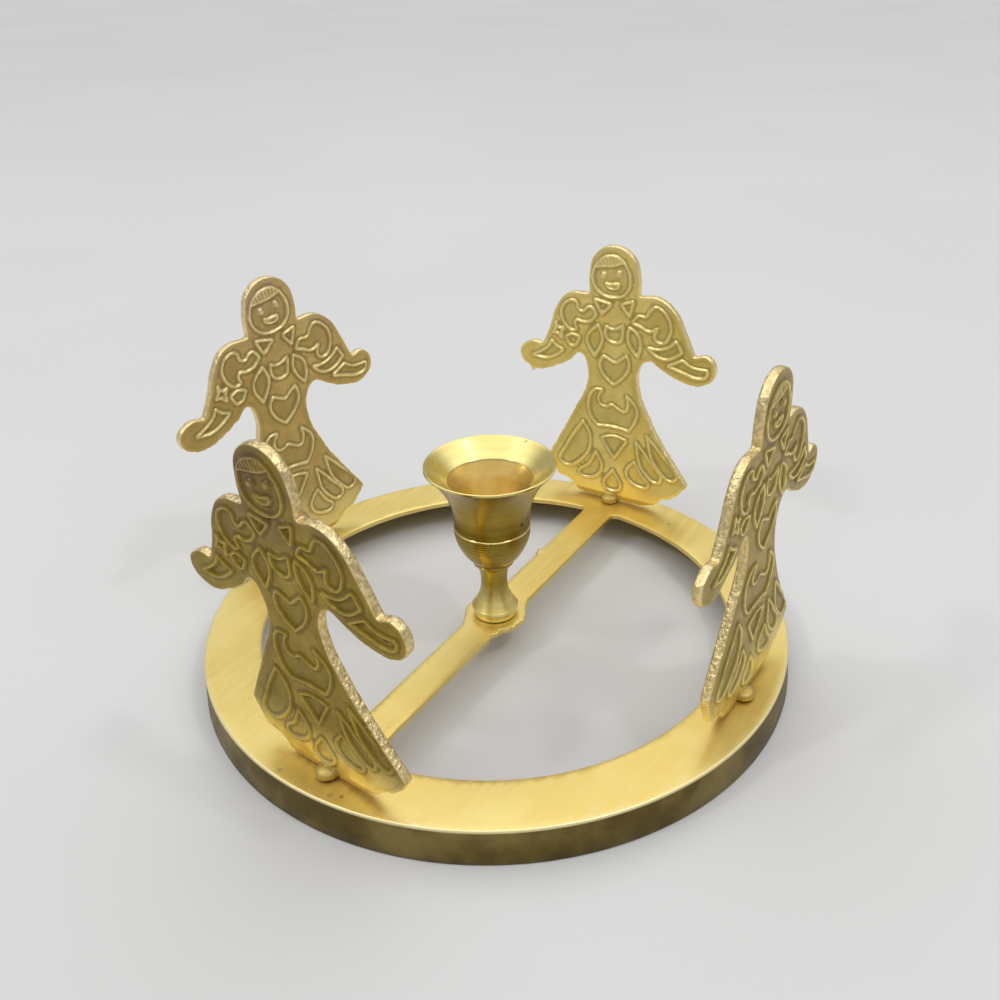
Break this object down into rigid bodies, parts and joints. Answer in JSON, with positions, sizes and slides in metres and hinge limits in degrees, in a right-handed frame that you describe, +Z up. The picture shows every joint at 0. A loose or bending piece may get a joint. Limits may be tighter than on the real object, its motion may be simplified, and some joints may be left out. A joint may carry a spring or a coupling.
{
  "type": "candle ring",
  "caption": "Brass candle ring: a flat ring with a cross bar, a turned cup for a taper candle in the middle, and flat cast angels standing round it.",
  "frame": {"origin": "on the table, under the middle of the ring", "axes": "+Z up, along the candle; the cross bar lies along Y; -Y is the front, +X is to the right"},
  "size_m": [0.1919, 0.19, 0.1127],
  "materials": {
    "ring": "satin",
    "cup": "polished",
    "angels": "antiqued",
    "screws": "satin"
  },
  "bodies": {
    "base": {"ring_base": "ring", "candle_cup": "cup", "cup_screw": "screws"},
    "front_angel": {"angel_front": "angels", "angel_screw_front": "screws"},
    "back_angel": {"angel_back": "angels", "angel_screw_back": "screws"},
    "left_angel": {"angel_left": "angels", "angel_screw_left": "screws"},
    "right_angel": {"angel_right": "angels", "angel_screw_right": "screws"}
  },
  "joints": [
    {"name": "front_angel_turn", "type": "hinge", "parent": "base", "child": "front_angel", "pos_m": [0, -0.0852, 0.0118], "axis": [0, 0, 1], "range_deg": [-180, 180]},
    {"name": "back_angel_turn", "type": "hinge", "parent": "base", "child": "back_angel", "pos_m": [0, 0.0852, 0.0118], "axis": [0, 0, 1], "range_deg": [-180, 180]},
    {"name": "left_angel_turn", "type": "hinge", "parent": "base", "child": "left_angel", "pos_m": [-0.0852, 0, 0.0118], "axis": [0, 0, 1], "range_deg": [-180, 180]},
    {"name": "right_angel_turn", "type": "hinge", "parent": "base", "child": "right_angel", "pos_m": [0.0852, 0, 0.0118], "axis": [0, 0, 1], "range_deg": [-180, 180]}
  ]
}
